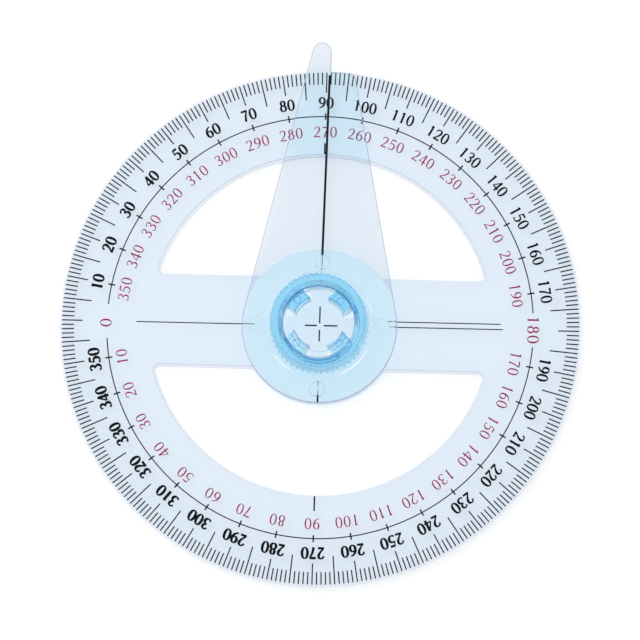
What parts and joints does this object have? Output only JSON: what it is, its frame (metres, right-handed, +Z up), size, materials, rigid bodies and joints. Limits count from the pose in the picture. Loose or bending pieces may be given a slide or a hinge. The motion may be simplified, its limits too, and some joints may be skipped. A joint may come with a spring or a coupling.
{
  "type": "full-circle protractor with swing arm",
  "caption": "Clear full-circle protractor with a see-through swinging pointer arm under a knurled hub ring, for measuring and setting angles on a flat drawing.",
  "frame": {"origin": "dial centre, on the dial's flat underside", "axes": "+Z up through the printed face, +Y towards the 90 mark, -X towards the 0 mark"},
  "size_m": [0.101, 0.1065, 0.0093],
  "materials": {
    "clear_plastic": "clear polished polystyrene with a faint cool tint",
    "tinted_plastic": "clear polished plastic with a pale blue tint",
    "blue_plastic": "clear polished plastic with a light blue tint, knurled round the outside",
    "black_ink": "thin printed black ink, slightly worn",
    "red_ink": "thin printed crimson ink of the inner numerals"
  },
  "bodies": {
    "dial": {"dial": "clear_plastic", "degree_ticks": "black_ink", "five_degree_ticks": "black_ink", "ten_degree_ticks": "black_ink", "numeral_circle": "black_ink", "base_lines": "black_ink", "window_marks": "black_ink", "centre_cross": "black_ink"},
    "arm": {"arm": "tinted_plastic", "index_line": "black_ink", "tail_line": "black_ink"},
    "lock_ring": {"lock_ring": "blue_plastic"}
  },
  "joints": [
    {"name": "arm_swing", "type": "hinge", "parent": "dial", "child": "arm", "pos_m": [0, 0, 0.0026], "axis": [0, 0, 1], "continuous": true},
    {"name": "ring_play", "type": "hinge", "parent": "dial", "child": "lock_ring", "pos_m": [0, 0, 0.002], "axis": [0, 0, 1], "range_deg": [-6, 6]}
  ]
}
